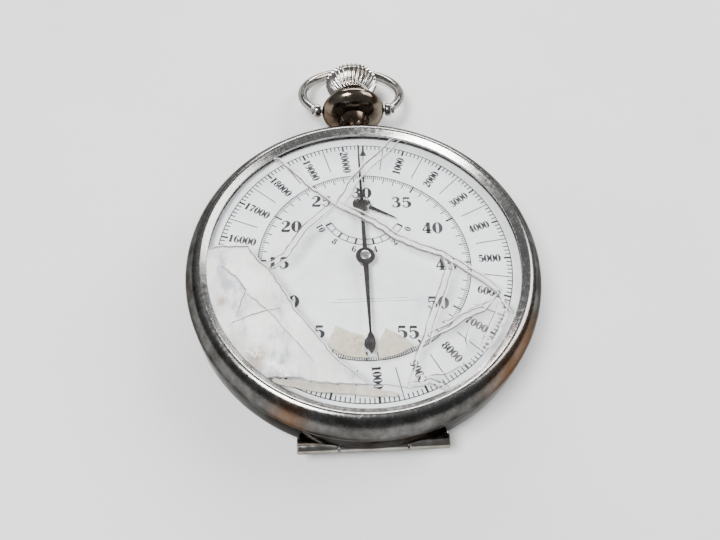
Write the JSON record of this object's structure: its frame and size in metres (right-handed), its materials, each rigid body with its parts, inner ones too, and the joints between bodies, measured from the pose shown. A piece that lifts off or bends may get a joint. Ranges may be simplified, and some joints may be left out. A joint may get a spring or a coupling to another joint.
{
  "type": "mechanical stopwatch",
  "caption": "Hand-wound pocket stopwatch with a cracked crystal, telemeter and seconds dial, minute register, crown, bow, hinged back and full movement.",
  "frame": {"origin": "centre of the flat of the back cover, on the sweep arbor axis", "axes": "+Z out of the dial, +Y towards the crown and bow"},
  "size_m": [0.056, 0.0798, 0.0147],
  "materials": {
    "nickel_case": "polished nickel silver, worn",
    "bezel_nickel": "worn nickel with brown tarnish",
    "gilt_brass": "gilt, fine grained",
    "steel": "polished steel",
    "blued_steel": "heat-blued steel",
    "white_dial": "white enamelled metal with black print",
    "black_hand": "gloss black",
    "celluloid": "clear celluloid, yellowed and cracked"
  },
  "bodies": {
    "case": {"case_middle": "nickel_case", "bezel": "bezel_nickel", "hinge_pin": "steel", "crystal_shard_1": "celluloid", "crystal_shard_2": "celluloid", "crystal_shard_3": "celluloid", "crystal_shard_4": "celluloid", "crystal_shard_5": "celluloid", "dial": "white_dial", "bow_screw_left": "steel", "bow_screw_right": "steel", "main_plate": "gilt_brass", "train_bridge": "gilt_brass", "barrel_bridge": "gilt_brass", "bridge_screw_1": "blued_steel", "bridge_screw_2": "blued_steel", "bridge_screw_3": "blued_steel", "bridge_screw_4": "blued_steel", "bridge_screw_5": "blued_steel", "pillar_1": "gilt_brass", "pillar_2": "gilt_brass", "pillar_3": "gilt_brass", "pillar_4": "gilt_brass", "pillar_5": "gilt_brass", "pallet_bridge": "gilt_brass", "hairspring": "blued_steel", "balance_cock": "gilt_brass"},
    "back_cover": {"back_cover": "nickel_case"},
    "bow": {"bow": "nickel_case"},
    "winding_pinion": {"winding_pinion": "steel"},
    "crown": {"crown": "nickel_case", "stem": "steel"},
    "crown_wheel": {"crown_wheel": "steel"},
    "barrel_arbor": {"barrel_arbor": "steel", "ratchet_wheel": "steel"},
    "barrel": {"barrel": "gilt_brass", "mainspring": "blued_steel"},
    "second_wheel": {"second_pinion": "steel", "second_wheel": "gilt_brass"},
    "third_wheel": {"third_pinion": "steel", "third_wheel": "gilt_brass"},
    "sweep": {"sweep_arbor": "steel", "sweep_wheel": "gilt_brass", "sweep_heart": "steel", "sweep_hand": "black_hand"},
    "escape": {"escape_wheel": "steel", "escape_pinion": "steel"},
    "transfer": {"transfer_wheel": "gilt_brass"},
    "minute": {"minute_arbor": "steel", "minute_wheel": "gilt_brass", "minute_heart": "steel", "minute_hand": "black_hand"},
    "pallet_lever": {"pallet_lever": "steel"},
    "balance": {"balance_wheel": "gilt_brass", "balance_staff": "steel"},
    "operating_lever": {"operating_lever": "steel"},
    "column_wheel": {"column_wheel": "steel"},
    "reset_hammer": {"reset_hammer": "steel"},
    "brake_lever": {"brake_lever": "steel"},
    "click": {"click": "steel"}
  },
  "joints": [
    {"name": "back_cover_hinge", "type": "hinge", "parent": "case", "child": "back_cover", "pos_m": [0, -0.027, 0.0043], "axis": [-1, 0, 0], "range_deg": [0, 110]},
    {"name": "bow_swing", "type": "hinge", "parent": "case", "child": "bow", "pos_m": [0, 0.0356, 0.0064], "axis": [1, 0, 0], "range_deg": [-110, 150]},
    {"name": "crown_wind", "type": "hinge", "parent": "case", "child": "winding_pinion", "pos_m": [0, 0.0172, 0.0064], "axis": [0, 1, 0], "continuous": true},
    {"name": "crown_push", "type": "slide", "parent": "winding_pinion", "child": "crown", "axis": [0, -1, 0], "range_m": [0, 0.0012], "stiffness_N_per_m": 400},
    {"name": "crown_wheel_turn", "type": "hinge", "parent": "case", "child": "crown_wheel", "pos_m": [0, 0.01216, 0.0032], "axis": [0, 0, 1], "continuous": true},
    {"name": "ratchet_turn", "type": "hinge", "parent": "case", "child": "barrel_arbor", "pos_m": [0.0108, 0.0096, 0.0032], "axis": [0, 0, 1], "continuous": true},
    {"name": "sweep_turn", "type": "hinge", "parent": "case", "child": "sweep", "pos_m": [0, 0, 0.0078], "axis": [0, 0, -1], "continuous": true},
    {"name": "third_turn", "type": "hinge", "parent": "case", "child": "third_wheel", "pos_m": [0.00431, -0.004, 0.0066], "axis": [0, 0, -1], "continuous": true},
    {"name": "second_turn", "type": "hinge", "parent": "case", "child": "second_wheel", "pos_m": [0.009, -0.00003, 0.0053], "axis": [0, 0, -1], "continuous": true},
    {"name": "barrel_turn", "type": "hinge", "parent": "case", "child": "barrel", "pos_m": [0.0108, 0.0096, 0.0072], "axis": [0, 0, -1], "continuous": true},
    {"name": "escape_turn", "type": "hinge", "parent": "case", "child": "escape", "pos_m": [-0.00433, -0.00303, 0.0067], "axis": [0, 0, -1], "continuous": true},
    {"name": "transfer_turn", "type": "hinge", "parent": "case", "child": "transfer", "pos_m": [-0.0026, 0.00479, 0.0053], "axis": [0, 0, -1], "continuous": true},
    {"name": "minute_turn", "type": "hinge", "parent": "case", "child": "minute", "pos_m": [0, 0.0102, 0.0053], "axis": [0, 0, -1], "continuous": true},
    {"name": "pallet_rock", "type": "hinge", "parent": "case", "child": "pallet_lever", "pos_m": [-0.0067, -0.0065, 0.0067], "axis": [0, 0, 1], "range_deg": [-3.5, 3.5]},
    {"name": "balance_swing", "type": "hinge", "parent": "case", "child": "balance", "pos_m": [-0.0094, -0.0102, 0.0044], "axis": [0, 0, 1], "range_deg": [-270, 270], "stiffness_Nm_per_rad": 0.000002},
    {"name": "operating_lever_rock", "type": "hinge", "parent": "case", "child": "operating_lever", "pos_m": [-0.0115, 0.0135, 0.0067], "axis": [0, 0, -1], "range_deg": [0, 6.2]},
    {"name": "column_wheel_step", "type": "hinge", "parent": "case", "child": "column_wheel", "pos_m": [-0.0142, 0.0044, 0.0057], "axis": [0, 0, 1], "continuous": true},
    {"name": "hammer_strike", "type": "hinge", "parent": "case", "child": "reset_hammer", "pos_m": [-0.0074, 0.0079, 0.0059], "axis": [0, 0, 1], "range_deg": [0, 3]},
    {"name": "brake_rock", "type": "hinge", "parent": "case", "child": "brake_lever", "pos_m": [-0.0192, 0.0002, 0.0043], "axis": [0, 0, -1], "range_deg": [0, 8]},
    {"name": "click_rock", "type": "hinge", "parent": "case", "child": "click", "pos_m": [0.0172, 0.0045, 0.0032], "axis": [0, 0, 1], "range_deg": [0, 12]}
  ],
  "couplings": [
    {"joint": "third_turn", "follows": "sweep_turn", "ratio": -0.16667},
    {"joint": "second_turn", "follows": "sweep_turn", "ratio": 0.027778},
    {"joint": "barrel_turn", "follows": "sweep_turn", "ratio": -0.0046296},
    {"joint": "escape_turn", "follows": "sweep_turn", "ratio": -10},
    {"joint": "transfer_turn", "follows": "sweep_turn", "ratio": -0.033333},
    {"joint": "minute_turn", "follows": "sweep_turn", "ratio": 0.033333},
    {"joint": "crown_wheel_turn", "follows": "crown_wind", "ratio": 0.35294},
    {"joint": "ratchet_turn", "follows": "crown_wind", "ratio": -0.3},
    {"joint": "operating_lever_rock", "follows": "crown_push", "rad_per_m": 87}
  ]
}
